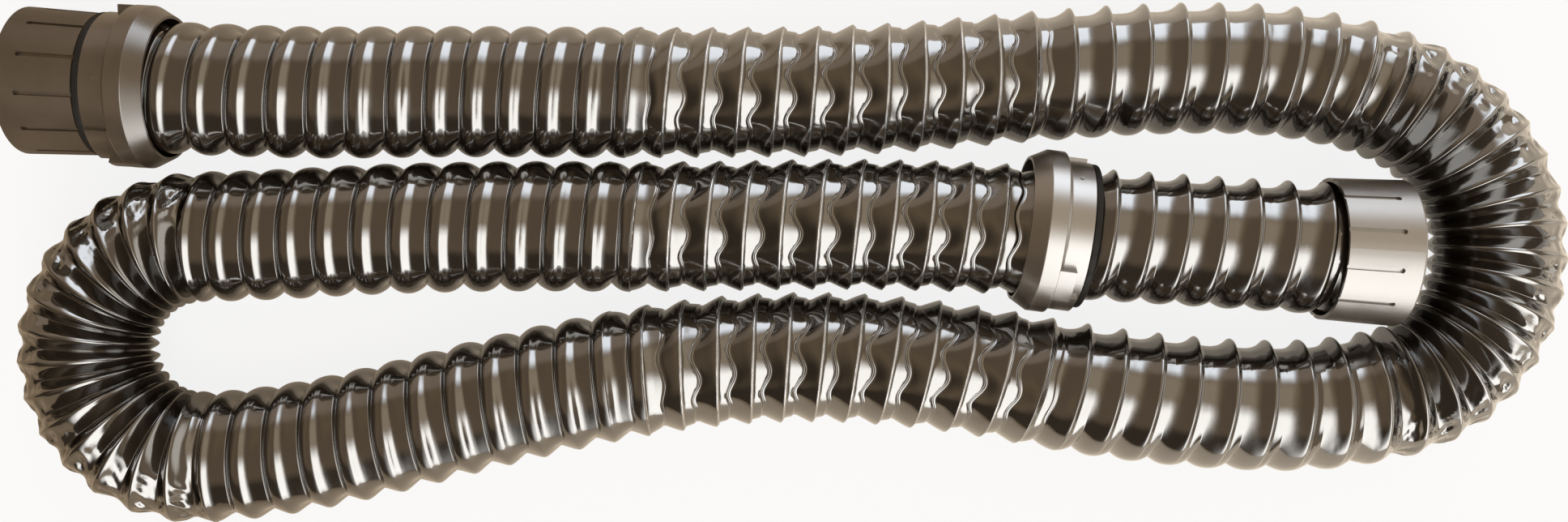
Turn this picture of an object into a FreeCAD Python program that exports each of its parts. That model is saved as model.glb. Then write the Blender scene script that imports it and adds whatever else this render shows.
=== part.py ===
"""Vacuum hose for a pool or spa, laid on a floor in three passes.

A ribbed hose ends in two grooved cuffs that turn on bushes. Behind each cuff a loose lock ring with
two lugs rides on the hose, with a gasket ahead of its sleeve. Millimetres, +Z up, floor at z = 0.
The origin is on the floor, under the middle of the box that the cuffs and lock rings span.
"""
import FreeCAD, Part
import math
import os

from FreeCAD import Placement, Rotation, Vector

# Hose: its bore, the wall in the valleys, and the rise of a rib's crest and shoulders over a valley.
HOSE_BORE_R = 19.0
VALLEY_WALL = 0.7
CREST_RISE = 3.1
SHOULDER_RISE = 2.5
SHOULDER_SHARE = 0.24
RIB_PITCH = 13.3
FLOOR_FLAT = 0.5
BEND_SHARE = 0.45

# Cuff, measured from its mouth along the axis into the hose.
CUFF_LENGTH = 25.6
CUFF_TAPER = 0.85
CUFF_EDGE_R = 0.8
SOCKET_R = 19.05
SOCKET_LENGTH = 9.6
SOCKET_LEAD = 0.8
CHAMBER_LENGTH = 2.8
LAND_LENGTH = 5.0
SKIRT_CLEARANCE = 0.4
SKIRT_WALL = 1.3
GROOVE_COUNT = 12
GROOVE_LENGTH = 17.9
GROOVE_WIDTH = 1.4
GROOVE_DEPTH = 0.7
GROOVE_HOLE_R = 0.85
GROOVE_HOLE_DEPTH = 1.4

# Bush: a spigot in the hose, a collar against its end and a journal for the cuff.
SPIGOT_CLEARANCE = 0.1
SPIGOT_WALL = 1.9
SPIGOT_LENGTH = 20.0
COLLAR_THICKNESS = 1.8
COLLAR_CLEARANCE = 0.6
JOURNAL_WALL = 3.6
JOURNAL_CLEARANCE = 0.05
END_PLAY = 0.2

# Split ring that holds the cuff on the journal, and the O-ring between them.
CLIP_WIDTH = 1.4
CLIP_RISE = 1.4
CLIP_SEAT_DEPTH = 1.1
CLIP_GAP_ANGLE = 30.0
CLIP_PLAY = 0.1
CHAMBER_CLEARANCE = 0.4
O_RING_WIRE_R = 0.8
O_RING_PLAY = 0.05
O_RING_SEAT_WIDTH = 2.0

# Lock ring, measured from the front of its sleeve towards the flange.
RING_BORE_CLEARANCE = 1.1
SLEEVE_WALL = 1.2
SLEEVE_LENGTH = 8.9
SLEEVE_FILLET_R = 1.2
FLANGE_RISE = 2.9
FLANGE_WIDTH = 6.2
FLANGE_EDGE_R = 0.7
BEVEL_LENGTH = 5.6
BEVEL_END_WALL = 1.0
LUG_RISE = 2.8
LUG_ANGLE = 28.0
LUG_FROM_FRONT = 3.5
RAMP_RISE = 1.4
RAMP_ANGLE = 35.0
RAMP_FROM_FRONT = 0.7
DOT_R = 0.7
DOT_RISE = 0.35
DOT_FROM_FRONT = 4.6

# Gasket ahead of the sleeve.
GASKET_WALL = 1.0
GASKET_WIDTH = 2.4
GASKET_EDGE_R = 0.6
GASKET_GAP = 0.1

# Radii that follow from the sizes above.
HOSE_VALLEY_R = HOSE_BORE_R + VALLEY_WALL
HOSE_CREST_R = HOSE_VALLEY_R + CREST_RISE
SKIRT_R = HOSE_CREST_R + SKIRT_CLEARANCE
CUFF_REAR_R = SKIRT_R + SKIRT_WALL
CUFF_MOUTH_R = CUFF_REAR_R + CUFF_TAPER
SPIGOT_R = HOSE_BORE_R - SPIGOT_CLEARANCE
BUSH_BORE_R = SPIGOT_R - SPIGOT_WALL
COLLAR_R = SKIRT_R - COLLAR_CLEARANCE
JOURNAL_R = BUSH_BORE_R + JOURNAL_WALL
LAND_R = JOURNAL_R + JOURNAL_CLEARANCE
CLIP_SEAT_R = JOURNAL_R - CLIP_SEAT_DEPTH
CLIP_R = JOURNAL_R + CLIP_RISE
CHAMBER_R = CLIP_R + CHAMBER_CLEARANCE
O_RING_SEAT_R = LAND_R - 2 * O_RING_WIRE_R - 2 * O_RING_PLAY
RING_BORE_R = HOSE_CREST_R + RING_BORE_CLEARANCE
GASKET_R = RING_BORE_R + GASKET_WALL
SLEEVE_R = RING_BORE_R + SLEEVE_WALL
FLANGE_R = SLEEVE_R + FLANGE_RISE
BEVEL_END_R = RING_BORE_R + BEVEL_END_WALL

# Places along the axis that follow from the sizes above.
LAND_START = SOCKET_LENGTH + CHAMBER_LENGTH
LAND_END = LAND_START + LAND_LENGTH
COLLAR_START = LAND_END + END_PLAY
HOSE_END = COLLAR_START + COLLAR_THICKNESS
GASKET_TO_SLEEVE = GASKET_WIDTH + GASKET_GAP
FLANGE_END = SLEEVE_LENGTH + FLANGE_WIDTH
RING_LENGTH = FLANGE_END + BEVEL_LENGTH

# Where the lock rings are, from the mouth of their cuff to the gasket's front, and how they lie.
RING_A_GAP = 0.3
RING_B_FROM_MOUTH = 107.9
RING_A_LUG_ANGLE = -90.0
RING_B_LUG_ANGLE = -43.0
RING_B_COCK = -4.0

# The hose's line from the end in cuff A to the end in cuff B: x, y and the height of the axis.
LOW_Z = HOSE_CREST_R - FLOOR_FLAT
HIGH_Z = FLANGE_R
ROUTE = [
    (-217.6, 28.4, HIGH_Z),
    (-152.6, 24.8, HIGH_Z),
    (-91.5, 26.3, LOW_Z),
    (-39.0, 25.8, LOW_Z),
    (13.5, 25.8, LOW_Z),
    (57.5, 26.8, LOW_Z),
    (107.5, 31.3, LOW_Z),
    (158.5, 34.8, LOW_Z),
    (206.5, 33.8, LOW_Z),
    (250.0, 20.8, LOW_Z),
    (273.5, -9.2, LOW_Z),
    (273.5, -46.7, LOW_Z),
    (253.5, -75.2, LOW_Z),
    (215.0, -83.7, LOW_Z),
    (175.5, -83.2, LOW_Z),
    (130.0, -78.2, LOW_Z),
    (84.5, -69.7, LOW_Z),
    (36.5, -65.7, LOW_Z),
    (-12.0, -68.7, LOW_Z),
    (-69.0, -80.2, LOW_Z),
    (-123.0, -94.2, LOW_Z),
    (-163.0, -101.2, LOW_Z),
    (-196.0, -101.7, LOW_Z),
    (-219.0, -78.7, LOW_Z),
    (-219.0, -46.7, LOW_Z),
    (-196.0, -24.7, LOW_Z),
    (-159.5, -24.2, LOW_Z),
    (-117.0, -21.7, LOW_Z),
    (-69.0, -20.7, LOW_Z),
    (-15.0, -21.2, LOW_Z),
    (64.7, -19.7, HIGH_Z),
    (217.4, -29.1, HIGH_Z),
]

UP = Vector(0, 0, 1)
AXIS = Vector(0, 0, 1)
ORIGIN = Vector(0, 0, 0)


class Run:
    """A straight piece of the hose's line."""

    def __init__(self, start, end):
        self.start = start
        self.length = (end - start).Length
        self.direction = (end - start).normalize()
        self.stretch = 1.0

    def at(self, distance):
        return self.start + self.direction * distance, self.direction


class Bend:
    """An arc between two runs. Its stretch is how much longer its outer side is than its line."""

    def __init__(self, start, direction, inward, radius, angle):
        self.start = start
        self.direction = direction
        self.inward = inward
        self.radius = radius
        self.length = radius * angle
        self.stretch = 1.0 + HOSE_CREST_R / radius

    def at(self, distance):
        angle = distance / self.radius
        inward = self.inward * (self.radius * (1 - math.cos(angle)))
        along = self.direction * (self.radius * math.sin(angle))
        direction = self.direction * math.cos(angle) + self.inward * math.sin(angle)
        return self.start + inward + along, direction


def route_pieces(points):
    """Straight runs joined by tangent arcs, each arc as large as its two runs allow."""
    pieces = []
    last = points[0]
    for before, corner, after in zip(points, points[1:], points[2:]):
        arriving = (corner - before).normalize()
        leaving = (after - corner).normalize()
        turn = arriving.getAngle(leaving)
        cut = BEND_SHARE * min((corner - before).Length, (after - corner).Length)
        radius = cut / math.tan(turn / 2)
        inward = (leaving - arriving * leaving.dot(arriving)).normalize()
        start = corner - arriving * cut
        pieces.append(Run(last, start))
        pieces.append(Bend(start, arriving, inward, radius, turn))
        last = corner + leaving * cut
        print("bend at %.0f, %.0f: radius %.1f mm" % (corner.x, corner.y, radius))
    pieces.append(Run(last, points[-1]))
    print("route length %.1f mm" % sum(piece.length for piece in pieces))
    return pieces


def least_gap(pieces, step=4.0, apart=40):
    """The least distance between the ribs of two passes that lie side by side."""
    line = []
    for piece in pieces:
        steps = max(1, round(piece.length / step))
        line += [piece.at(piece.length * index / steps)[0] for index in range(steps)]
    distances = []
    for index, point in enumerate(line):
        distances += [point.distanceToPoint(other) for other in line[index + apart:]]
    return min(distances) - 2 * HOSE_CREST_R


def rib_stations(pieces, shares):
    """Points and directions along the line, at shares of each rib.

    The ribs are at equal steps of the hose's outer side, which keeps its full pitch in a bend.
    """
    total = sum(piece.length * piece.stretch for piece in pieces)
    ribs = round(total / RIB_PITCH)
    print("ribs %d, length of the hose pulled straight %.0f mm" % (ribs, total))
    wanted = [total * (rib + share) / ribs for rib in range(ribs) for share in shares] + [total]
    stations = []
    passed = 0.0
    index = 0
    for distance in wanted:
        while index < len(pieces) - 1 and distance > passed + pieces[index].length * pieces[index].stretch:
            passed += pieces[index].length * pieces[index].stretch
            index += 1
        piece = pieces[index]
        stations.append(piece.at(min((distance - passed) / piece.stretch, piece.length)))
    return stations


def circle_wire(radius, point, direction):
    """A circle square to the line, whose seam lies level with its centre on the same side all the way."""
    side = direction.cross(UP).normalize()
    turn = Rotation(side, side.cross(direction) * -1, direction, "ZXY")
    circle = Part.Wire(Part.makeCircle(radius))
    circle.Placement = Placement(point, turn)
    return circle


def ruled_skin(stations, radii):
    """The side faces of a ruled loft through one circle for each station."""
    wires = [circle_wire(radius, *station) for radius, station in zip(radii, stations)]
    skin = Part.makeLoft(wires, False, True)
    return wires, skin.Faces


def hose():
    """The ribbed wall: an outer skin of ribs and a smooth bore, closed by a ring at each end."""
    pieces = route_pieces([Vector(*point) for point in ROUTE])
    print("least gap between passes %.2f mm" % least_gap(pieces))
    shares = [0.0, SHOULDER_SHARE, 0.5, 1.0 - SHOULDER_SHARE]
    shoulder_r = HOSE_VALLEY_R + SHOULDER_RISE
    rib_radii = [HOSE_VALLEY_R, shoulder_r, HOSE_CREST_R, shoulder_r]
    outer_stations = rib_stations(pieces, shares)
    ribs = len(outer_stations) // len(shares)
    outer_wires, outer_faces = ruled_skin(outer_stations, rib_radii * ribs + [HOSE_VALLEY_R])
    bore_stations = outer_stations[::2]
    bore_wires, bore_faces = ruled_skin(bore_stations, [HOSE_BORE_R] * len(bore_stations))
    ends = []
    for index in (0, -1):
        rim = Part.Face(outer_wires[index])
        ends.append(rim.cut(Part.Face(bore_wires[index])).Faces[0])
    shell = Part.makeShell(outer_faces + bore_faces + ends)
    shell.sewShape()
    wall = Part.makeSolid(shell)
    if wall.Volume < 0:
        wall.reverse()
    box = wall.BoundBox
    floor = Part.makeBox(box.XLength, box.YLength, HOSE_CREST_R, Vector(box.XMin, box.YMin, -HOSE_CREST_R))
    return wall.cut(floor)


def revolved(profile, angle=360.0):
    """A closed profile of radius and place along the axis, turned about the axis."""
    points = [Vector(radius, 0, place) for radius, place in profile]
    face = Part.Face(Part.makePolygon(points + points[:1]))
    return face.revolve(ORIGIN, AXIS, angle)


def edges_at(solid, radius, place, tolerance=0.01):
    """The circular edges of that radius at that place along the axis."""
    found = []
    for edge in solid.Edges:
        if not isinstance(edge.Curve, Part.Circle):
            continue
        same_radius = abs(edge.Curve.Radius - radius) < tolerance
        if same_radius and abs(edge.Curve.Center.z - place) < tolerance:
            found.append(edge)
    return found


def cuff():
    """Grip sleeve with a socket mouth, a land that turns on the journal and a skirt round the hose."""
    body = revolved([
        (SOCKET_R + SOCKET_LEAD, 0),
        (CUFF_MOUTH_R, 0),
        (CUFF_REAR_R, CUFF_LENGTH),
        (SKIRT_R, CUFF_LENGTH),
        (SKIRT_R, LAND_END),
        (LAND_R, LAND_END),
        (LAND_R, LAND_START),
        (CHAMBER_R, LAND_START),
        (CHAMBER_R, SOCKET_LENGTH),
        (SOCKET_R, SOCKET_LENGTH),
        (SOCKET_R, SOCKET_LEAD),
    ])
    body = body.makeFillet(CUFF_EDGE_R, edges_at(body, CUFF_MOUTH_R, 0))
    taper = math.degrees(math.atan2(CUFF_MOUTH_R - CUFF_REAR_R, CUFF_LENGTH))
    start = CUFF_LENGTH - GROOVE_LENGTH
    start_r = CUFF_MOUTH_R - start * math.tan(math.radians(taper))
    past_end = GROOVE_LENGTH + GROOVE_DEPTH
    floor_r = start_r - GROOVE_DEPTH
    corner = Vector(floor_r, -GROOVE_WIDTH / 2, start)
    groove = Part.makeBox(2 * GROOVE_DEPTH, GROOVE_WIDTH, past_end, corner)
    groove.rotate(Vector(floor_r, 0, start), Vector(0, 1, 0), -taper)
    bottom = Vector(start_r - GROOVE_HOLE_DEPTH, 0, start)
    hole = Part.makeCylinder(GROOVE_HOLE_R, 2 * GROOVE_HOLE_DEPTH, bottom, Vector(1, 0, 0))
    cutter = groove.fuse(hole)
    for index in range(GROOVE_COUNT):
        turned = cutter.copy()
        turned.rotate(ORIGIN, AXIS, (index + 0.5) * 360.0 / GROOVE_COUNT)
        body = body.cut(turned)
    return body


def bush():
    """Stiff tube that joins the hose to the cuff: spigot, collar and grooved journal."""
    clip_seat_start = LAND_START - 2 * CLIP_PLAY - CLIP_WIDTH
    seal_middle = (LAND_START + LAND_END) / 2
    seal_start = seal_middle - O_RING_SEAT_WIDTH / 2
    seal_end = seal_middle + O_RING_SEAT_WIDTH / 2
    return revolved([
        (BUSH_BORE_R, SOCKET_LENGTH + END_PLAY),
        (JOURNAL_R, SOCKET_LENGTH + END_PLAY),
        (JOURNAL_R, clip_seat_start),
        (CLIP_SEAT_R, clip_seat_start),
        (CLIP_SEAT_R, LAND_START),
        (JOURNAL_R, LAND_START),
        (JOURNAL_R, seal_start),
        (O_RING_SEAT_R, seal_start),
        (O_RING_SEAT_R, seal_end),
        (JOURNAL_R, seal_end),
        (JOURNAL_R, COLLAR_START),
        (COLLAR_R, COLLAR_START),
        (COLLAR_R, HOSE_END),
        (SPIGOT_R, HOSE_END),
        (SPIGOT_R, HOSE_END + SPIGOT_LENGTH),
        (BUSH_BORE_R, HOSE_END + SPIGOT_LENGTH),
    ])


def split_ring():
    """Open ring in the journal's groove, in front of the cuff's land."""
    inner_r = CLIP_SEAT_R + CLIP_PLAY
    end = LAND_START - CLIP_PLAY
    return revolved([
        (inner_r, end - CLIP_WIDTH),
        (CLIP_R, end - CLIP_WIDTH),
        (CLIP_R, end),
        (inner_r, end),
    ], 360.0 - CLIP_GAP_ANGLE)


def o_ring():
    """Round-section seal in the journal's other groove."""
    middle_r = O_RING_SEAT_R + O_RING_PLAY + O_RING_WIRE_R
    return Part.makeTorus(middle_r, O_RING_WIRE_R, Vector(0, 0, (LAND_START + LAND_END) / 2), AXIS)


def gasket():
    """Seal ahead of the lock ring's sleeve, rounded outside."""
    ring = revolved([
        (RING_BORE_R, 0),
        (GASKET_R, 0),
        (GASKET_R, GASKET_WIDTH),
        (RING_BORE_R, GASKET_WIDTH),
    ])
    outer = edges_at(ring, GASKET_R, 0) + edges_at(ring, GASKET_R, GASKET_WIDTH)
    return ring.makeFillet(GASKET_EDGE_R, outer)


def sector(outer_r, start, end, middle_angle, angle):
    """A piece of a tube on the lock ring's sleeve, between two places along it and over an angle."""
    root_r = (RING_BORE_R + SLEEVE_R) / 2
    block = revolved([(root_r, start), (outer_r, start), (outer_r, end), (root_r, end)], angle)
    block.rotate(ORIGIN, AXIS, middle_angle - angle / 2)
    return block


def lock_ring():
    """Sleeve and bevelled flange, with two lugs, each with a low ramp leading to it, and a pointer dot."""
    ring = revolved([
        (RING_BORE_R, 0),
        (SLEEVE_R, 0),
        (SLEEVE_R, SLEEVE_LENGTH),
        (FLANGE_R, SLEEVE_LENGTH),
        (FLANGE_R, FLANGE_END),
        (BEVEL_END_R, RING_LENGTH),
        (RING_BORE_R, RING_LENGTH),
    ])
    rims = edges_at(ring, FLANGE_R, SLEEVE_LENGTH) + edges_at(ring, FLANGE_R, FLANGE_END)
    ring = ring.makeFillet(FLANGE_EDGE_R, rims)
    ring = ring.makeFillet(SLEEVE_FILLET_R, edges_at(ring, SLEEVE_R, SLEEVE_LENGTH))
    into_flange = SLEEVE_LENGTH + SLEEVE_FILLET_R
    for side in (0.0, 180.0):
        ramp_middle = side - (LUG_ANGLE + RAMP_ANGLE) / 2
        lug = sector(SLEEVE_R + LUG_RISE, LUG_FROM_FRONT, into_flange, side, LUG_ANGLE)
        ring = ring.fuse(lug)
        ramp = sector(SLEEVE_R + RAMP_RISE, RAMP_FROM_FRONT, into_flange, ramp_middle, RAMP_ANGLE)
        ring = ring.fuse(ramp)
    root_r = (RING_BORE_R + SLEEVE_R) / 2
    dot_length = SLEEVE_R + DOT_RISE - root_r
    dot = Part.makeCylinder(DOT_R, dot_length, Vector(0, root_r, DOT_FROM_FRONT), Vector(0, 1, 0))
    return ring.fuse(dot).removeSplitter()


def end_frame(end, beyond):
    """The mouth of an end's cuff, with +Z along its axis into the hose and +X upwards."""
    inward = (beyond - end).normalize()
    mouth = end - inward * HOSE_END
    return Placement(mouth, Rotation(UP, inward.cross(UP), inward, "ZXY"))


def ring_frame(frame, from_mouth, lug_angle, cock):
    """The front of a gasket on the hose, turned to its lugs, and cocked about the ring's middle."""
    half = (GASKET_TO_SLEEVE + RING_LENGTH) / 2
    along = Placement(Vector(0, 0, from_mouth + half), Rotation(AXIS, 0))
    tilt = Placement(ORIGIN, Rotation(Vector(1, 0, 0), cock))
    back = Placement(Vector(0, 0, -half), Rotation(AXIS, lug_angle))
    return frame * along * tilt * back


def placed(shape, frame, along=0.0):
    """A copy of the shape in a frame, moved along the frame's axis first."""
    copy = shape.copy()
    copy.Placement = frame * Placement(Vector(0, 0, along), Rotation(AXIS, 0)) * copy.Placement
    return copy


def main():
    os.makedirs("parts", exist_ok=True)
    points = [Vector(*point) for point in ROUTE]
    frames = {
        "a": end_frame(points[0], points[1]),
        "b": end_frame(points[-1], points[-2]),
    }
    rings = {
        "a": ring_frame(frames["a"], CUFF_LENGTH + RING_A_GAP, RING_A_LUG_ANGLE, 0.0),
        "b": ring_frame(frames["b"], RING_B_FROM_MOUTH, RING_B_LUG_ANGLE, RING_B_COCK),
    }
    nodes = {"hose": hose()}
    for end, frame in frames.items():
        nodes["cuff_" + end] = placed(cuff(), frame)
        nodes["bush_" + end] = placed(bush(), frame)
        nodes["split_ring_" + end] = placed(split_ring(), frame)
        nodes["o_ring_" + end] = placed(o_ring(), frame)
        nodes["gasket_" + end] = placed(gasket(), rings[end])
        nodes["lock_ring_" + end] = placed(lock_ring(), rings[end], GASKET_TO_SLEEVE)
        print("end", end, "mouth", frame.Base, "axis", frame.Rotation.multVec(AXIS))
        print("ring", end, "front", rings[end].Base, "axis", rings[end].Rotation.multVec(AXIS))
    for name, shape in nodes.items():
        print(name, "solids", len(shape.Solids), "valid", shape.isValid(), "volume %.1f" % shape.Volume)
        shape.exportStep("parts/" + name + ".step")


main()
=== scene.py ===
import math

import bpy
import numpy as np
from bpy.props import FloatProperty, FloatVectorProperty, IntProperty, PointerProperty
from bpy.types import Operator, Panel, PropertyGroup
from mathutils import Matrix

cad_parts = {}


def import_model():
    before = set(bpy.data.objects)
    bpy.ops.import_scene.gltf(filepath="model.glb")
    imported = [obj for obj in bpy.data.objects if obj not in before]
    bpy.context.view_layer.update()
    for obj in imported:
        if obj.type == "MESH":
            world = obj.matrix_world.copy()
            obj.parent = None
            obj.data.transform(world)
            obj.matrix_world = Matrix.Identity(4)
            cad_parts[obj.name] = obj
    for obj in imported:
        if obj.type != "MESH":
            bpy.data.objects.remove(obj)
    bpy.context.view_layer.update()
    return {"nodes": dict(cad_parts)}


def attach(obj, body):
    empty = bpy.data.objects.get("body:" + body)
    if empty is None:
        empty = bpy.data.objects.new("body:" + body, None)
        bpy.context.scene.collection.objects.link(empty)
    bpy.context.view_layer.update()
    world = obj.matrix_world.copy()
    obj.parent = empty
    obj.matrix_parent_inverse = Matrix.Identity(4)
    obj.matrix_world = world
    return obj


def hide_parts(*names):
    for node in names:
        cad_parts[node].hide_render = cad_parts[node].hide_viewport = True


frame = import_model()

bl_info = {
    "name": "Ribbed vacuum hose",
    "version": (1, 0, 0),
    "blender": (4, 5, 0),
    "location": "3D View > Sidebar > Vacuum hose",
    "description": "Dresses the packed hose: ribbed film, wire helix, cuffs, lock rings and stage",
    "category": "Object",
}

# ---------------------------------------------------------------------------------------------
# The hose's line and the sizes that come from the imported solids
# ---------------------------------------------------------------------------------------------

# Control points of the hose's line from the end in cuff A to the end in cuff B, in metres.
# The last but one is an added point: the photograph shows a long straight stretch there.
ROUTE = (
    (-0.2176, 0.0284, 0.0280),
    (-0.1526, 0.0248, 0.0280),
    (-0.0915, 0.0263, 0.0223),
    (-0.0390, 0.0258, 0.0223),
    (0.0135, 0.0258, 0.0223),
    (0.0575, 0.0268, 0.0223),
    (0.1075, 0.0313, 0.0223),
    (0.1585, 0.0348, 0.0223),
    (0.2065, 0.0338, 0.0223),
    (0.2500, 0.0208, 0.0223),
    (0.2735, -0.0092, 0.0223),
    (0.2735, -0.0467, 0.0223),
    (0.2535, -0.0752, 0.0223),
    (0.2150, -0.0837, 0.0223),
    (0.1755, -0.0832, 0.0223),
    (0.1300, -0.0782, 0.0223),
    (0.0845, -0.0697, 0.0223),
    (0.0365, -0.0657, 0.0223),
    (-0.0120, -0.0687, 0.0223),
    (-0.0690, -0.0802, 0.0223),
    (-0.1230, -0.0942, 0.0223),
    (-0.1630, -0.1012, 0.0223),
    (-0.1960, -0.1017, 0.0223),
    (-0.2190, -0.0787, 0.0223),
    (-0.2190, -0.0467, 0.0223),
    (-0.1960, -0.0247, 0.0223),
    (-0.1595, -0.0242, 0.0223),
    (-0.1170, -0.0217, 0.0223),
    (-0.0690, -0.0207, 0.0223),
    (-0.0150, -0.0212, 0.0223),
    (0.0647, -0.0197, 0.0280),
    (0.1444, -0.0246, 0.0280),
    (0.2174, -0.0291, 0.0280),
)
# How many ribs the photograph's hose is ahead of an even one, at distances in millimetres along it.
RIBS_AHEAD = (
    (0, 0.93), (60, 0.94), (120, 0.90), (180, 0.85), (217, 1.00), (255, 1.18), (293, 1.24),
    (330, 1.39), (356, 1.45), (394, 1.50), (430, 1.45), (470, 1.45), (501, 1.50), (528, 1.63),
    (555, 1.75), (580, 1.83), (602, 1.65), (616, 1.48), (640, 1.32), (670, 1.24), (700, 1.22),
    (785, 1.21), (806, 1.38), (824, 1.47), (871, 1.43), (900, 1.50), (933, 1.56), (975, 1.64),
    (1000, 1.66), (1019, 1.50), (1037, 1.30), (1055, 1.17), (1105, 1.14), (1125, 1.22), (1145, 1.42),
    (1181, 1.67), (1250, 1.71), (1324, 1.72), (1368, 1.89), (1404, 2.10), (1430, 2.29), (1465, 2.50),
    (1500, 2.82), (1533, 3.00),
)
# How many sections the film is built in.
FILM_SECTIONS = 8
# Gloss of each end: its cuff's share of glossy coat, and that coat's refractive index and roughness.
# Both ends are one plastic. Cuff b's full coat of high index is a painted sheen that makes it bright
# and silvery, and cuff a's thin coat leaves it dull.
END_SHEEN = {"a": (0.15, 1.9, 0.3), "b": (1.0, 3.4, 0.40)}
# A millimetre in metres, and a metre in millimetres.
MM = 0.001
METRE = 1000.0
# Mean radii in millimetres at which the creases and the folds are measured round the hose.
CREASE_RADIUS = 21.3
FOLD_RADIUS = 21.0
# From where to where, in millimetres from the origin, the left part of the film gives way to the
# middle one, and the middle one to the right part.
LEFT_FADE = (-38.0, -2.0)
RIGHT_FADE = (100.0, 128.0)
# Curvatures, for each millimetre, at which a bend begins to show in the film and at which it rules.
BEND_FADE = (0.004, 0.014)
# The floor: its half-width in millimetres, its tones in reflections on the left and on the right,
# where in metres one gives way to the other, and how much of it glows in reflections and for the
# camera. The tones in reflections are painted shade and painted light: warm, and darker towards the
# left.
FLOOR_REACH = 6000.0
FLOOR_SHADE_LEFT = (0.40, 0.31, 0.21)
FLOOR_LIGHT_RIGHT = (1.0, 0.91, 0.78)
FLOOR_SHADE_FADE = (-0.30, 0.20)
FLOOR_GLOW = (0.30, 0.86)
# Radiance of the light's zones. The window and the cool window are multiplied by its strength.
LIGHT = {
    "dark": (0.07, 0.055, 0.04),
    "room": (0.40, 0.29, 0.18),
    "pillar": (0.29, 0.215, 0.14),
    "far wall": (0.58, 0.45, 0.34),
    "right wall": (0.38, 0.29, 0.20),
    "right window": (1.5, 1.4, 1.25),
    "ceiling": (0.85, 0.69, 0.50),
    "window": (1.0, 0.97, 0.92),
    "cool window": (0.76, 0.79, 0.83),
    "backdrop": (0.86, 0.85, 0.83),
}
# Where the zones lie, in degrees: sideways from overhead towards +X, and forwards from overhead
# towards +Y. Two numbers are the start and the end of a soft edge, and three are the two ends of a
# band and the softness of its edges.
SIDEWAYS = {
    "dark ends": (-62, -30),
    "pillar": (-34, -10, 5),
    "windows start": (-20, 8),
    "cool window starts": (-12, 8),
    "windows end": (24, 32),
    "right wall": (28, 40),
    "right window": (50, 62),
}
FORWARDS = {
    "dark ends": (-58, -30),
    "far wall": (46, 62),
    "ceiling": (-6, 48, 14),
    "window": (-94, -9, 15),
    "cool window": (54, 98, 11),
}
# The point in metres that the camera stands over, and the width of its sensor in millimetres.
CAMERA_OVER = (0.0243, -0.0330)
SENSOR_WIDTH = 36.0


# ---------------------------------------------------------------------------------------------
# Settings
# ---------------------------------------------------------------------------------------------


class HoseSettings(PropertyGroup):
    """Sizes and colour of the ribbed film and its wire."""

    crest_radius: FloatProperty(
        name="Crest radius", description="Radius of the hose over its ribs",
        default=0.0228, min=0.01, unit="LENGTH")
    valley_radius: FloatProperty(
        name="Valley radius", description="Radius of the film between two ribs",
        default=0.0197, min=0.01, unit="LENGTH")
    bore_radius: FloatProperty(
        name="Bore radius", description="Radius of the bore",
        default=0.0190, min=0.005, unit="LENGTH")
    pitch: FloatProperty(
        name="Pitch", description="Distance from rib to rib on the outer side of a bend",
        default=0.0133, min=0.005, unit="LENGTH")
    wire_radius: FloatProperty(
        name="Wire radius", description="Radius of the wire under each crest",
        default=0.0008, min=0.0003, unit="LENGTH")
    around: IntProperty(
        name="Points around", description="Number of points round the hose", default=160, min=24)
    film_colour: FloatVectorProperty(
        name="Film colour", description="Colour of the film under its gloss",
        default=(0.0135, 0.0100, 0.0070), subtype="COLOR", min=0, max=1)


class FittingSettings(PropertyGroup):
    """Colours of the cuffs, lock rings, seals and bushes."""

    cuff_colour: FloatVectorProperty(
        name="Cuff colour", description="Colour of the cuffs' plastic",
        default=(0.072, 0.052, 0.034), subtype="COLOR", min=0, max=1)
    ring_colour: FloatVectorProperty(
        name="Lock ring colour", description="Colour of the lock rings' plastic",
        default=(0.062, 0.045, 0.030), subtype="COLOR", min=0, max=1)
    seal_colour: FloatVectorProperty(
        name="Seal colour", description="Colour of the gaskets and O-rings",
        default=(0.012, 0.011, 0.010), subtype="COLOR", min=0, max=1)
    bush_colour: FloatVectorProperty(
        name="Bush colour", description="Colour of the bushes in the cuffs",
        default=(0.05, 0.05, 0.05), subtype="COLOR", min=0, max=1)


class StageSettings(PropertyGroup):
    """Camera, light and floor."""

    camera_height: FloatProperty(
        name="Camera height", description="Height of the camera over the floor",
        default=0.547, unit="LENGTH")
    focal_length: FloatProperty(
        name="Focal length", description="Focal length in millimetres on a 36 mm sensor",
        default=34.4, min=1)
    window_strength: FloatProperty(
        name="Window strength", description="Radiance of the large soft window",
        default=4.2, min=0)
    floor_colour: FloatVectorProperty(
        name="Floor colour", description="Colour of the floor",
        default=(0.80, 0.79, 0.77), subtype="COLOR", min=0, max=1)


# ---------------------------------------------------------------------------------------------
# Line of the hose
# ---------------------------------------------------------------------------------------------


def points_of_line():
    """The points of the smooth line: a NURBS spline of order 3 whose control points are the route."""
    curve = bpy.data.curves.new("hose_line", "CURVE")
    curve.dimensions = "3D"
    spline = curve.splines.new("NURBS")
    spline.points.add(len(ROUTE) - 1)
    controls = np.ones((len(ROUTE), 4))
    controls[:, :3] = ROUTE
    spline.points.foreach_set("co", controls.ravel())
    spline.order_u = 3
    spline.use_endpoint_u = True
    spline.resolution_u = 40
    line = bpy.data.objects.new("hose_line", curve)
    mesh = bpy.data.meshes.new_from_object(line)
    points = np.empty(len(mesh.vertices) * 3)
    mesh.vertices.foreach_get("co", points)
    bpy.data.meshes.remove(mesh)
    bpy.data.objects.remove(line)
    bpy.data.curves.remove(curve)
    return points.reshape(-1, 3)


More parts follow.
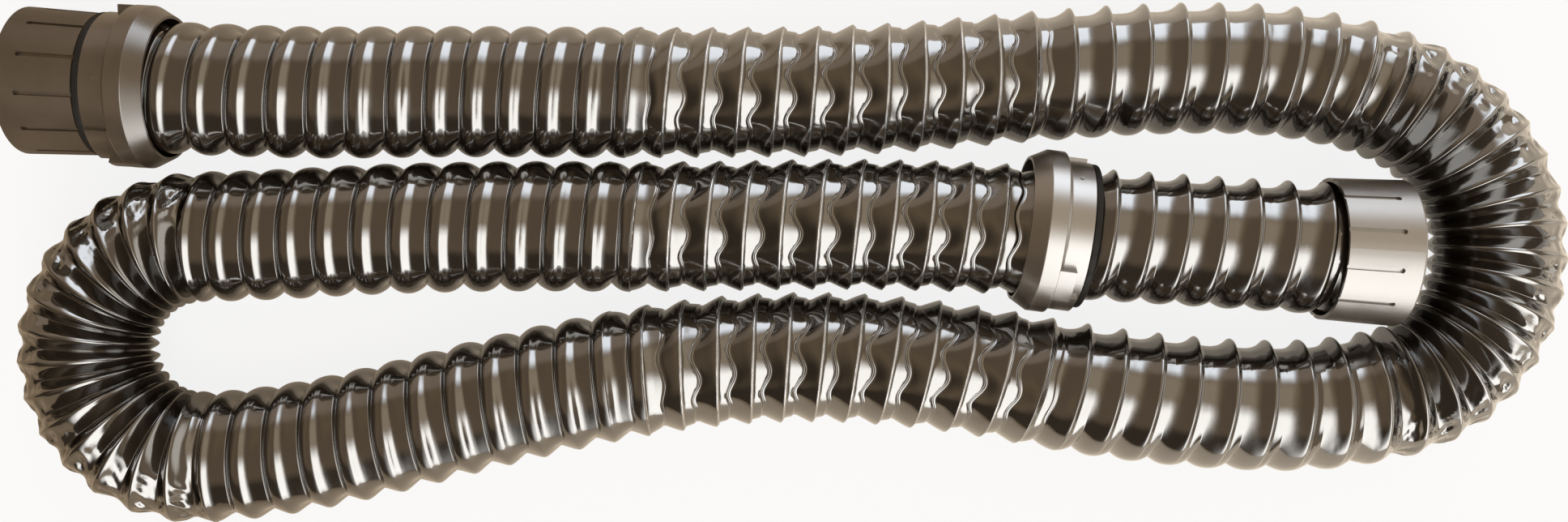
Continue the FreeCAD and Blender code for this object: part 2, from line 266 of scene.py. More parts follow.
def blurred(values, width):
    """Each column of values averaged with a bell-shaped window of that many samples."""
    reach = int(3 * width)
    window = np.exp(-0.5 * (np.arange(-reach, reach + 1) / width) ** 2)
    window /= window.sum()
    padded = np.pad(values, ((reach, reach), (0, 0)), mode="edge")
    return np.stack([np.convolve(column, window, "valid") for column in padded.T], axis=1)


def smooth_step(low, high, value):
    """0 below low, 1 above high, and 3t^2 - 2t^3 between them."""
    t = np.clip((value - low) / (high - low), 0.0, 1.0)
    return t * t * (3.0 - 2.0 * t)


def unit(vectors):
    """Vectors of length 1."""
    return vectors / np.linalg.norm(vectors, axis=-1, keepdims=True)


class Line:
    """The hose's line with its frames, curvature and rib phase, all in millimetres.

    The tangent T is the derivative along the line, S = T x Z points to one side and U = S x T
    upwards. The phase is the integral of (1 + curvature x crest radius) / pitch, so that the outer
    side of a bend keeps the full pitch and its inner side closes up, plus RIBS_AHEAD.
    """

    def __init__(self, points, crest_radius, pitch):
        raw = points * METRE
        raw_s = np.concatenate([[0.0], np.cumsum(np.linalg.norm(np.diff(raw, axis=0), axis=1))])
        self.length = raw_s[-1]
        # The line is kept at points half a millimetre apart, and the averages count such points.
        step, tangent_blur, bend_blur, phase_blur = 0.5, 4, 14, 24
        self.s = np.linspace(0.0, self.length, int(self.length / step) + 1)
        self.centre = np.stack([np.interp(self.s, raw_s, raw[:, i]) for i in range(3)], axis=1)
        self.tangent = unit(blurred(np.gradient(self.centre, self.s, axis=0), tangent_blur))
        self.side = unit(np.cross(self.tangent, (0.0, 0.0, 1.0)))
        self.up = np.cross(self.side, self.tangent)
        bend = blurred(np.gradient(self.tangent, self.s, axis=0), bend_blur)
        self.bend_side = (bend * self.side).sum(axis=1)
        self.bend_up = (bend * self.up).sum(axis=1)
        self.bend = np.linalg.norm(bend, axis=1)
        rate = (1.0 + self.bend * crest_radius) / pitch
        even = np.concatenate([[0.0], np.cumsum((rate[1:] + rate[:-1]) / 2 * np.diff(self.s))])
        ahead = np.interp(self.s, *np.array(RIBS_AHEAD).T)
        self.phase = even + blurred(ahead[:, None], phase_blur)[:, 0]
        self.rate = np.gradient(self.phase, self.s)

    def read(self, name, s):
        """The named quantity at distances s along the line."""
        values = getattr(self, name)
        if values.ndim == 1:
            return np.interp(s, self.s, values)
        return np.stack([np.interp(s, self.s, values[:, i]) for i in range(3)], axis=-1)

    def place(self, phase):
        """The distance along the line at which the phase has that value."""
        return np.interp(phase, self.phase, self.s)

    def out(self, s, v):
        """Unit vectors away from the line: cos v U + sin v S."""
        return np.cos(v)[..., None] * self.read("up", s) + np.sin(v)[..., None] * self.read("side", s)


# ---------------------------------------------------------------------------------------------
# Film of the hose
# ---------------------------------------------------------------------------------------------


def arc_drop(x, radius, slope):
    """Drop of a circle of that radius at distance x from its top, carried on straight once it has
    that slope."""
    limit = radius * np.sin(np.arctan(slope))
    inside = np.minimum(x, limit)
    return radius - np.sqrt(radius ** 2 - inside ** 2) + (x - inside) * slope


def smooth_max(a, b, width):
    """The larger of two heights, rounded over that width."""
    return 0.5 * (a + b + np.sqrt((a - b) ** 2 + width ** 2))


def scatter(number, seed):
    """A repeatable value from -1 to 1 for each rib: the fraction of a large multiple of its sine."""
    value = np.sin(number * 12.9898 + seed * 78.233) * 43758.5453
    return 2.0 * (value - np.floor(value)) - 1.0


class Film:
    """The outer surface of the film as one function of the distance s and the angle v round the line.

    The ribs are one helix: a crest lies wherever phase + v / 2 pi is a whole number and a half.
    Between two crests the film falls from each crest to a crease. How it falls changes along the
    photograph, as slack film does: rounded pillows on the left, tents with a winding crease in the
    middle, narrow ribs with a sloping valley on the right and narrow ribs in the bends. Left and
    right mean the left and right of the photograph, whichever way the line runs there.
    """

    def __init__(self, line, settings):
        self.line = line
        self.crest = settings.crest_radius * METRE
        self.rise = self.crest - settings.valley_radius * METRE
        self.bore = settings.bore_radius * METRE

    def heading(self, s):
        """1 where the line runs to the right, -1 where it runs to the left, and between in a bend."""
        return np.clip(self.line.read("tangent", s)[..., 0] * 1.6, -1.0, 1.0)

    def parts(self, x):
        """How far the left form of the film and its right one rule at distances x from the origin."""
        return 1 - smooth_step(*LEFT_FADE, x), smooth_step(*RIGHT_FADE, x)

    def crease_share(self, number, s, v):
        """Share of the way from one crest to the next at which the crease lies.

        On the left it is 0.68 of the way to the right along the hose's top and a half at its sides.
        In the middle it is 0.43, with a wave of 1.5 mm whose period is 17.6 mm round the hose. On
        the right it is 0.36, and a half on the side that is lower in the photograph.
        """
        heading = self.heading(s)
        sign = np.where(heading < 0, -1.0, 1.0)
        x = self.line.read("centre", s)[..., 0]
        angle = v * sign
        pillow = 0.5 + 0.18 * (1 - smooth_step(0.75, 1.35, np.abs(angle)))
        arc = angle * CREASE_RADIUS
        wave = np.cos(2 * np.pi * (arc - 4.2 + 0.8 * scatter(number, 3)) / 17.6)
        reach = smooth_step(-1.15, -0.75, angle) * (1 - smooth_step(0.45, 0.95, angle))
        tented = 0.43 + 0.11 * (1 + 0.25 * scatter(number, 1)) * wave * reach
        narrow = 0.36 + 0.14 * smooth_step(0.3, 1.4, angle)
        left, right = self.parts(x)
        share = tented + left * (pillow - tented) + right * (narrow - tented)
        return 0.5 + heading * (share - 0.5)

    def radius(self, s, v):
        """Radius of the film in millimetres at distance s and angle v."""
        line = self.line
        turned = line.read("phase", s) + v / (2 * np.pi) - 0.5
        number = np.floor(turned)
        part = turned - number
        middle = line.place(number + 1.0 - v / (2 * np.pi))
        share = self.crease_share(number, middle, v)
        across = line.read("bend_side", middle) * np.sin(v) + line.read("bend_up", middle) * np.cos(v)
        pitch = (1.0 - CREASE_RADIUS * across) / line.read("rate", middle)
        heading = self.heading(middle)
        angle = v * np.where(heading < 0, -1.0, 1.0)
        first = part < share
        x = np.where(first, part, 1 - part) * pitch
        reach = np.where(first, share, 1 - share) * pitch
        other = np.where(first, 1 - share, share) * pitch
        falling = np.where(first, heading, -heading) > 0
        place = line.read("centre", middle)[..., 0]
        bend = smooth_step(*BEND_FADE, line.read("bend", middle))
        left, right = self.parts(place)
        # The radius of a plain rib's top: 4.6 mm, 3.0 on the right and less in the bends.
        curl = 4.6 + (3.0 - 4.6) * right
        curl = curl + bend * (np.where(place > 0, 2.3, 3.6) - curl)
        level = 0.5 * (self.ribbed(other, curl) - self.ribbed(reach, curl))
        even = self.ribbed(x, curl) + level * (x / reach) ** 2
        outer = self.outer(v, middle, bend)
        even += bend * (self.folded(x, reach, np.where(place > 0, 0.8, 1.2), outer) - even)
        uneven = self.tented(x, reach, falling)
        below = heading < 0
        uneven = uneven + left * (self.pillowed(x, reach, falling, angle, below, place) - uneven)
        uneven = uneven + right * (self.narrow(x, reach, falling, angle) - uneven)
        straight = np.abs(heading) * (1 - bend)
        height = even + straight * (uneven - even)
        return self.crest - self.rise + height + self.wrinkle(number, x, reach, v, middle, bend)

    def ribbed(self, x, curl):
        """A rib's circle of that radius, rounded into a flat valley."""
        return smooth_max(self.rise - arc_drop(x, curl, 1.9), 0.0, 0.30) - 0.06

    def outer(self, v, s, bend):
        """1 on the outer side of a bend, where the film is stretched, and 0 on its inner side."""
        inner = np.sign(self.line.read("bend_side", s))
        return smooth_step(0.0, 0.8, -inner * np.sin(v)) * bend

    def folded(self, x, reach, rounding, outer):
        """In a bend: straight flanks from a rounded crest down to a sharp crease. On the outer side
        the flanks hang hollow from a sharper crest, and the crease is two thirds as deep."""
        rounding = rounding * (1 - 0.5 * outer)
        run = np.sqrt(x ** 2 + rounding ** 2) - rounding
        end = np.sqrt(reach ** 2 + rounding ** 2) - rounding
        fall = 1 - np.maximum(1 - run / end, 0.0) ** (1 + 0.6 * outer)
        return self.rise * (1 - (1 - 0.33 * outer) * fall)

    def pillowed(self, x, reach, falling, angle, below, place):
        """Left part: a soft shoulder right of the crest, a shelf that rises a little and a tight
        round edge down to a shallow crease. Shoulder and shelf grow from left to right. At the
        sides of the hose it is a plain round rib, and under the lowest pass, where the film is
        taut, a narrow one."""
        crease, round_edge = 1.3, 0.6
        along = np.clip(place + 150.0, -70.0, 110.0)
        drop = 0.75 + 0.0025 * along
        width = 1.9 + 0.004 * along
        climb = (0.09 + 0.0004 * along) * np.maximum(x - 1.1 * width, 0.0)
        shoulder = self.rise - drop * (1 - np.exp(-((x / width) ** 2))) + climb
        edge = np.clip((x - reach + round_edge) / round_edge, 0.0, 1.0)
        shelf = crease + (shoulder - crease) * np.sqrt(np.maximum(1 - edge ** 2.8, 0.0))
        fall = np.sqrt(np.maximum(1 - (x / reach) ** 2, 0.0)) ** 0.9
        steep = crease + (self.rise - crease) * fall
        plain = self.rise * (1 - (x / reach) ** 2.2)
        taut = self.rise * (1 - np.sqrt((x / reach) ** 2 + 0.04) / 1.02) ** 1.15
        plain = np.where(below & (angle > 0), np.maximum(taut, 0.0) * 1.2, plain)
        side = smooth_step(0.75, 1.3, np.abs(angle))
        flank = np.where(falling, shelf, steep)
        return flank + side * (plain - flank)

    def tented(self, x, reach, falling):
        """Middle part: a thin ridge that drops at once by 1.4 mm on its right, a strip that falls by
        0.9 mm, a step of 0.7 mm down to a bead along the crease, and a slope up to the next ridge."""
        u = x / reach
        step = smooth_step(1.15, 0.15, reach - x)
        lit = 0.46 * (1 - np.exp(-x / 0.33)) + 0.30 * u + 0.24 * step
        fall = np.where(falling, lit, u ** 1.12)
        ridge = np.sqrt((x * 0.9) ** 2 + 0.10 ** 2) - x * 0.9
        bead = 0.34 * np.exp(-(((reach - x) / 0.42) ** 2))
        return self.rise * (1 - fall) - ridge + bead

    def narrow(self, x, reach, falling, angle):
        """Right part: a rib whose right face drops steeply to a strip 1 mm high and whose left face
        is a long hollow slope. Towards the side that is upper in the photograph the strip sinks to
        the valley, and towards the lower side the rib becomes a plain broad one."""
        above = smooth_step(0.7, 1.2, -angle)
        strip = 1.0 - above
        face = smooth_max(self.rise - arc_drop(x, 0.9, 2.3), strip + 0.1 * (1 - x / reach), 0.22)
        run = (np.sqrt(x ** 2 + 0.25) - 0.5) / (np.sqrt(reach ** 2 + 0.25) - 0.5)
        slope = strip + (self.rise - strip) * np.maximum(1 - run, 0.0) ** (1.7 + 1.3 * above)
        plain = self.rise * (1 - (x / reach) ** 2.2)
        height = np.where(falling, face, slope)
        return height + smooth_step(0.25, 1.35, angle) * (plain - height)

    def wrinkle(self, number, x, reach, v, s, bend):
        """Folds of slack film: waves round the hose, strongest half-way between crest and crease.

        In a bend they lie on its outer side: waves of 0.3 mm whose period is about 9 mm, crossed
        by slower ones and by slanting crinkles whose period is 5 mm.
        """
        outer = self.outer(v, s, bend)
        body = np.sin(np.pi * np.clip(x / reach, 0, 1)) ** 2
        arc = v * FOLD_RADIUS
        wave = np.sin(2 * np.pi * arc / 8.8 + 2.2 * scatter(number, 5) + 0.45 * x)
        slow = np.sin(2 * np.pi * arc / 23.0 + 3.1 * scatter(number, 6) - 0.3 * x)
        fine = np.sin(2 * np.pi * (arc + 0.9 * x) / 5.1 + 2.7 * scatter(number, 7) + 1.3 * slow)
        return body * (outer * (0.30 * wave + 0.20 * slow + 0.14 * fine) + 0.05 * slow)

    def point(self, s, v, deepen=0.0):
        """Point of the surface: the line's point plus the radius times cos v U + sin v S, held off the
        floor. In a bend the valleys are made deeper by that share, which only the normals use: slack
        film folds in further there than the bore leaves room for."""
        line = self.line
        s = np.clip(s, 0.0, line.length)
        radius = self.radius(s, v)
        bend = smooth_step(*BEND_FADE, line.read("bend", s))
        radius = (self.crest - (self.crest - radius) * (1 + deepen * bend))[..., None]
        place = line.read("centre", s) + radius * line.out(s, v)
        place[..., 2] = np.maximum(place[..., 2], 0.0)
        return place

    def normal(self, s, v):
        """Unit normal of the surface: the cross product of its slopes round and along the hose."""
        step_s, step_v = 0.06, 0.003
        along = self.point(s + step_s, v, 1.0) - self.point(s - step_s, v, 1.0)
        around = self.point(s, v + step_v, 1.0) - self.point(s, v - step_v, 1.0)
        normal = np.cross(around, along)
        out = self.line.out(s, v)
        flip = np.sign((normal * out).sum(axis=-1, keepdims=True))
        normal = normal * np.where(flip == 0, 1, flip)
        length = np.linalg.norm(normal, axis=-1, keepdims=True)
        return np.where(length > 1e-9, normal / np.maximum(length, 1e-9), out)


def grid_triangles(rows, columns, offset=0, closed=True):
    """Triangles of a grid of points whose rows are rings, wound so that they face outwards."""
    width = columns if closed else columns - 1
    row, column = np.meshgrid(np.arange(rows - 1), np.arange(width), indexing="ij")
    a = row * columns + column
    b = row * columns + (column + 1) % columns
    c = a + columns
    d = b + columns
    quads = np.stack([a, b, d, c], axis=-1).reshape(-1, 4) + offset
    return np.concatenate([quads[:, (0, 1, 2)], quads[:, (0, 2, 3)]])


def welded(points, triangles, normals):
    """Points merged where they coincide, and the triangles that keep three corners."""
    keys = np.round(points / 1e-4).astype(np.int64)
    _, first, index = np.unique(keys, axis=0, return_index=True, return_inverse=True)
    index = index.reshape(-1)
    joined = index[triangles]
    whole = (
        (joined[:, 0] != joined[:, 1])
        & (joined[:, 1] != joined[:, 2])
        & (joined[:, 2] != joined[:, 0])
    )
    return points[first], joined[whole], normals[whole]


def mesh_object(name, points, triangles, normals=None, smooth=True):
    """A mesh object at the origin from points in millimetres, triangles and one normal per corner."""
    mesh = bpy.data.meshes.new(name)
    mesh.vertices.add(len(points))
    mesh.vertices.foreach_set("co", (points * MM).ravel())
    mesh.loops.add(triangles.size)
    mesh.loops.foreach_set("vertex_index", triangles.ravel().astype(np.int32))
    mesh.polygons.add(len(triangles))
    mesh.polygons.foreach_set("loop_start", np.arange(0, triangles.size, 3, dtype=np.int32))
    mesh.polygons.foreach_set("use_smooth", np.full(len(triangles), smooth))
    mesh.update(calc_edges=True)
    mesh.validate()
    if normals is not None and len(mesh.loops) == triangles.size:
        mesh.normals_split_custom_set(normals.reshape(-1, 3))
    piece = bpy.data.objects.new(name, mesh)
    bpy.context.scene.collection.objects.link(piece)
    return piece


def rib_rows(first, last):
    """Row numbers of the film's grid: whole at a crest and a half more at a crease, with rows close
    together near both."""
    near = np.array(
        [0.0, 0.010, 0.024, 0.045, 0.08, 0.13, 0.20, 0.28, 0.36, 0.41, 0.445, 0.468, 0.487])
    steps = np.concatenate([near, [0.5], 1 - near[:0:-1]])
    return (np.arange(first, last)[:, None] + steps[None, :]).ravel()


def film_section(film, start, end, around):
    """Shell of the film between two distances: outer ribs, bore and two flat ends.

    Rows of the outer grid follow the helix: crests, creases and the lines between them. Rows that
    would lie beyond an end are drawn back onto it, where they merge. At v = pi a row has gone on by
    one turn, to where the next one starts at v = -pi. Along that seam, under the hose, the crests
    meet. Folds and creases differ from rib to rib and leave it open there, by up to 2.8 mm.
    """
    line = film.line
    columns = around + 1
    v = np.linspace(-np.pi, np.pi, columns)
    first = math.floor(line.read("phase", start) - 1.0) - 1
    last = math.ceil(line.read("phase", end)) + 1
    rows = rib_rows(first, last)
    number = np.floor(rows)[:, None] + 0.0 * v
    part = (rows - np.floor(rows))[:, None] + 0.0 * v
    angle = np.broadcast_to(v, part.shape)
    middle = line.place(number + 1.0 - angle / (2 * np.pi))
    share = film.crease_share(number, middle, angle)
    turned = np.where(part < 0.5, part * 2 * share, share + (part - 0.5) * 2 * (1 - share))
    s = np.clip(line.place(number + 0.5 + turned - angle / (2 * np.pi)), start, end)
    keep = (s.max(axis=1) > start) & (s.min(axis=1) < end)
    keep = keep | np.roll(keep, 1) | np.roll(keep, -1)
    s, angle = s[keep], angle[keep]
    outer = film.point(s, angle)
    outer_normal = film.normal(s, angle)
    triangles = grid_triangles(len(s), columns, closed=False)
    flat_points = outer.reshape(-1, 3)
    normals = outer_normal.reshape(-1, 3)[triangles]
    # The bore has a ring of points for every 7 mm or so, and is held 0.6 mm off the floor.
    rings = max(2, int((end - start) / 7.0))
    bore_s = np.broadcast_to(np.linspace(start, end, rings)[:, None], (rings, columns))
    bore_v = np.broadcast_to(v, (rings, columns))
    out = line.out(bore_s, bore_v)
    bore = line.read("centre", bore_s) + film.bore * out
    bore[..., 2] = np.maximum(bore[..., 2], 0.6)
    offset = len(flat_points)
    bore_triangles = grid_triangles(rings, columns, offset, closed=False)[:, ::-1]
    bore_normals = -out.reshape(-1, 3)[bore_triangles - offset]
    points = np.concatenate([flat_points, bore.reshape(-1, 3)])
    ends, end_normals = [], []
    for place, outer_row, bore_row, flip in (
        (start, 0, 0, True), (end, len(s) - 1, rings - 1, False)
    ):
        ring = np.arange(columns)
        a = outer_row * columns + ring
        b = offset + bore_row * columns + ring
        quads = np.stack([a[:-1], a[1:], b[1:], b[:-1]], axis=-1)
        if flip:
            quads = quads[:, ::-1]
        tris = np.concatenate([quads[:, (0, 1, 2)], quads[:, (0, 2, 3)]])
        tangent = line.read("tangent", np.array([place]))[0] * (-1 if flip else 1)
        ends.append(tris)
        end_normals.append(np.broadcast_to(tangent, (len(tris), 3, 3)))
    triangles = np.concatenate([triangles, bore_triangles] + ends)
    normals = np.concatenate([normals, bore_normals] + end_normals)
    return welded(points, triangles, normals)


def wire_helix(line, film, radius, around=8, per_turn=30):
    """The wire as a tube along the crests. Its line is the hose's line plus the radius at which it
    lies under the film times cos v U + sin v S, with v = 2 pi (1/2 - phase), and its section is a
    small circle."""
    turns = line.phase[-1]
    phase = np.linspace(0.02, turns - 0.02, int(turns * per_turn))
    s = line.place(phase)
    v = 2 * np.pi * (0.5 - phase)
    thickness, clearance = 0.35, 0.1
    out = line.out(s, v)
    path = line.read("centre", s) + (film.crest - thickness - radius) * out
    path[:, 2] = np.maximum(path[:, 2], radius + clearance)
    tangent = unit(np.gradient(path, axis=0))
    second = unit(np.cross(tangent, out))
    first = np.cross(second, tangent)
    w = np.linspace(0, 2 * np.pi, around, endpoint=False)
    ring = np.cos(w)[:, None] * first[:, None] + np.sin(w)[:, None] * second[:, None]
    points = (path[:, None, :] + radius * ring).reshape(-1, 3)
    triangles = grid_triangles(len(path), around)
    caps = []
    for row, flip in ((0, False), (len(path) - 1, True)):
        index = row * around + np.arange(around)
        fan = np.stack([np.full(around - 2, index[0]), index[1:-1], index[2:]], axis=-1)
        caps.append(fan[:, ::-1] if flip else fan)
    return points, np.concatenate([triangles] + caps)


# ---------------------------------------------------------------------------------------------
# Materials
# ---------------------------------------------------------------------------------------------


def new_material(name):
    """An empty node material with a Principled shader, its node tree and its shader."""
    material = bpy.data.materials.new(name)
    material.use_nodes = True
    tree = material.node_tree
    return material, tree, tree.nodes["Principled BSDF"]


def noise(tree, scale, detail=2.0, roughness=0.5):
    """A noise texture on Object coordinates."""
    place = tree.nodes.new("ShaderNodeTexCoord")
    texture = tree.nodes.new("ShaderNodeTexNoise")
    texture.inputs["Scale"].default_value = scale
    texture.inputs["Detail"].default_value = detail
    texture.inputs["Roughness"].default_value = roughness
    tree.links.new(place.outputs["Object"], texture.inputs["Vector"])
    return texture.outputs["Fac"]


def scaled(tree, value, source, target, interpolation="LINEAR"):
    """A value that goes over the target's range as the given one goes over the source's."""
    node = tree.nodes.new("ShaderNodeMapRange")
    node.interpolation_type = interpolation
    node.inputs["From Min"].default_value, node.inputs["From Max"].default_value = source
    node.inputs["To Min"].default_value, node.inputs["To Max"].default_value = target
    tree.links.new(value, node.inputs["Value"])
    return node.outputs["Result"]


def worked(tree, operation, first, second=0.0):
    """The result of a Math node on one value or two, of which the second may be a plain number."""
    node = tree.nodes.new("ShaderNodeMath")
    node.operation = operation
    tree.links.new(first, node.inputs[0])
    if isinstance(second, (int, float)):
        node.inputs[1].default_value = second
    else:
        tree.links.new(second, node.inputs[1])
    return node.outputs["Value"]


def mixed(tree, factor, first, second):
    """The first colour where the factor is 0 and the second where it is 1."""
    node = tree.nodes.new("ShaderNodeMix")
    node.data_type = "RGBA"
    tree.links.new(factor, node.inputs["Factor"])
    for name, colour in (("A", first), ("B", second)):
        if isinstance(colour, tuple):
            node.inputs[name].default_value = (*colour, 1)
        else:
            tree.links.new(colour, node.inputs[name])
    return node.outputs["Result"]


def uneven(tree, shader, cloud, dark, light, spots, low, high):
    """Colour that goes from dark to light over one noise, and roughness from low to high over the
    other, each as its noise goes over its middle."""
    middle = (0.3, 0.7)
    ramp = tree.nodes.new("ShaderNodeValToRGB")
    for element, position, colour in zip(ramp.color_ramp.elements, middle, (dark, light)):
        element.position = position
        element.color = (*colour, 1)
    tree.links.new(cloud, ramp.inputs["Fac"])
    tree.links.new(ramp.outputs["Color"], shader.inputs["Base Color"])
    tree.links.new(scaled(tree, spots, middle, (low, high)), shader.inputs["Roughness"])


def bumped(tree, shader, height, strength, distance):
    """The shader's normal roughened by a height field."""
    bump = tree.nodes.new("ShaderNodeBump")
    bump.inputs["Strength"].default_value = strength
    bump.inputs["Distance"].default_value = distance
    tree.links.new(height, bump.inputs["Height"])
    tree.links.new(bump.outputs["Normal"], shader.inputs["Normal"])


def shade(colour, factor):
    """The colour made darker or lighter."""
    return tuple(min(1.0, channel * factor) for channel in colour)


def film_material(colour):
    """Glossy brown-black film: uneven colour and gloss, and slight ripples."""
    material, tree, shader = new_material("hose_film")
    cloud, spots = noise(tree, 45.0, 3.0), noise(tree, 160.0, 3.0)
    uneven(tree, shader, cloud, shade(colour, 0.75), shade(colour, 1.3), spots, 0.075, 0.15)
    shader.inputs["IOR"].default_value = 1.8
    shader.inputs["Specular IOR Level"].default_value = 1.0
    shader.inputs["Coat Weight"].default_value = 1.0
    shader.inputs["Coat Roughness"].default_value = 0.08
    shader.inputs["Coat IOR"].default_value = 1.7
    bumped(tree, shader, noise(tree, 210.0, 2.0), 0.10, 0.0006)
    return material


def steel_material(name):
    """Bright spring steel with fine drawing marks."""
    material, tree, shader = new_material(name)
    cloud, spots = noise(tree, 300.0, 4.0), noise(tree, 900.0)
    uneven(tree, shader, cloud, (0.52, 0.52, 0.53), (0.68, 0.68, 0.69), spots, 0.22, 0.38)
    shader.inputs["Metallic"].default_value = 1.0
    return material


def moulded_material(name, colour, low, high, grain, coat_share, gloss=1.75, blur=0.3):
    """Moulded plastic: fine grain, sheen that varies from low to high roughness and faint rubbed
    patches. Coat share is the weight of a glossy coat, gloss its refractive index and blur its
    roughness. The cuffs and lock rings take these per end, as a painted sheen that makes one end
    brighter than the other."""
    material, tree, shader = new_material(name)
    cloud, spots = noise(tree, 70.0, 4.0, 0.6), noise(tree, 140.0, 4.0)
    uneven(tree, shader, cloud, shade(colour, 0.85), shade(colour, 1.15), spots, low, high)
    shader.inputs["IOR"].default_value = 1.5
    shader.inputs["Coat Weight"].default_value = coat_share
    shader.inputs["Coat Roughness"].default_value = blur
    shader.inputs["Coat IOR"].default_value = gloss
    bumped(tree, shader, noise(tree, 1500.0, 2.0), grain, 0.0003)
    return material


def rubber_material(name, colour):
    """Dull rubber of slightly uneven colour and sheen."""
    material, tree, shader = new_material(name)
    cloud, spots = noise(tree, 250.0, 3.0), noise(tree, 500.0)
    uneven(tree, shader, cloud, shade(colour, 0.8), shade(colour, 1.3), spots, 0.5, 0.7)
    shader.inputs["Specular IOR Level"].default_value = 0.25
    return material


def give_material(piece, material):
    """The piece shows that material alone."""
    piece.data.materials.clear()
    piece.data.materials.append(material)


def dress_node(name, material):
    """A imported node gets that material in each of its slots."""
    node = packed(name)
    if not node.material_slots:
        node.data.materials.append(material)
    for place in node.material_slots:
        place.link = "OBJECT"
        place.material = material


# ---------------------------------------------------------------------------------------------
# Operators
# ---------------------------------------------------------------------------------------------


def hose_surface(settings):
    """The points of the hose's line, the line with its frames, and the film's surface."""
    points = points_of_line()
    line = Line(points, settings.crest_radius * METRE, settings.pitch * METRE)
    return points, line, Film(line, settings)


def packed(name):
    """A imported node, or an error that names it."""
    if name not in frame["nodes"]:
        raise RuntimeError(f"the frame has no node named {name}")
    return frame["nodes"][name]


def stand_in_for_hose(piece, material):
    """The piece moves with the hose, takes its place and shows that material."""
    give_material(piece, material)
    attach(piece, "hose")
    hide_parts("hose")


class OBJECT_OT_vacuum_hose_film(Operator):
    """Build the ribbed film of the hose in sections"""

    bl_idname = "object.vacuum_hose_film"
    bl_label = "Ribbed film"

    def execute(self, context):
        settings = context.scene.vacuum_hose
        packed("hose")
        _, line, film = hose_surface(settings)
        material = film_material(settings.film_colour)
        cuts = np.linspace(0.0, line.length, FILM_SECTIONS + 1)
        for number in range(FILM_SECTIONS):
            shell = film_section(film, cuts[number], cuts[number + 1], settings.around)
            stand_in_for_hose(mesh_object(f"hose_film_{number + 1}", *shell), material)
        return {"FINISHED"}


class OBJECT_OT_vacuum_hose_wire(Operator):
    """Build the wire helix under the ribs"""

    bl_idname = "object.vacuum_hose_wire"
    bl_label = "Wire helix"

    def execute(self, context):
        settings = context.scene.vacuum_hose
        names = [f"hose_film_{number + 1}" for number in range(FILM_SECTIONS)]
        missing = [name for name in names if name not in bpy.data.objects]
        if missing:
            raise RuntimeError("build the ribbed film first: there is no " + missing[0])
        points, line, film = hose_surface(settings)
        wire = mesh_object("hose_wire", *wire_helix(line, film, settings.wire_radius * METRE))
        stand_in_for_hose(wire, steel_material("hose_wire_steel"))
        return {"FINISHED"}


class OBJECT_OT_vacuum_hose_cuffs(Operator):
    """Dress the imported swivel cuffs"""

    bl_idname = "object.vacuum_hose_cuffs"
    bl_label = "Cuffs"

    def execute(self, context):
        colour = context.scene.vacuum_fittings.cuff_colour
        # Painted sheen: cuff b gets a full coat of high index that makes it bright, cuff a a thin one,
        # though both are one plastic.
        for end, (sheen_share, gloss, blur) in END_SHEEN.items():
            dress_node(f"cuff_{end}", moulded_material(
                f"cuff_{end}_plastic", colour, 0.36, 0.50, 0.10, sheen_share, gloss, blur))
        return {"FINISHED"}


class OBJECT_OT_vacuum_hose_lock_rings(Operator):
    """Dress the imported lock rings"""

    bl_idname = "object.vacuum_hose_lock_rings"
    bl_label = "Lock rings"

    def execute(self, context):
        colour = context.scene.vacuum_fittings.ring_colour
        # Painted sheen: each lock ring takes its end's coat index, with a sharper coat than its cuff.
        for end, (_, gloss, blur) in END_SHEEN.items():
            dress_node(f"lock_ring_{end}", moulded_material(
                f"lock_ring_{end}_plastic", colour, 0.26, 0.38, 0.05, 1.0, gloss, 0.8 * blur))
        return {"FINISHED"}


class OBJECT_OT_vacuum_hose_seals(Operator):
    """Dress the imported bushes, split rings, O-rings and gaskets"""

    bl_idname = "object.vacuum_hose_seals"
    bl_label = "Bushes and seals"

    def execute(self, context):
        settings = context.scene.vacuum_fittings
        dress = {
            "bush": moulded_material("bush_plastic", settings.bush_colour, 0.35, 0.5, 0.05, 0.0),
            "split_ring": steel_material("split_ring_steel"),
            "o_ring": rubber_material("o_ring_rubber", settings.seal_colour),
            "gasket": rubber_material("gasket_rubber", settings.seal_colour),
        }
        for name, material in dress.items():
            for end in END_SHEEN:
                dress_node(f"{name}_{end}", material)
        return {"FINISHED"}


class OBJECT_OT_vacuum_hose_stage(Operator):
    """Set up the floor, the light and the camera"""

    bl_idname = "object.vacuum_hose_stage"
    bl_label = "Stage"

    def execute(self, context):
        settings = context.scene.vacuum_stage
        floor_of(settings)
        light_of(settings)
        camera_of(settings)
        context.scene.view_settings.view_transform = "Standard"
        return {"FINISHED"}


# ---------------------------------------------------------------------------------------------
# Stage
# ---------------------------------------------------------------------------------------------


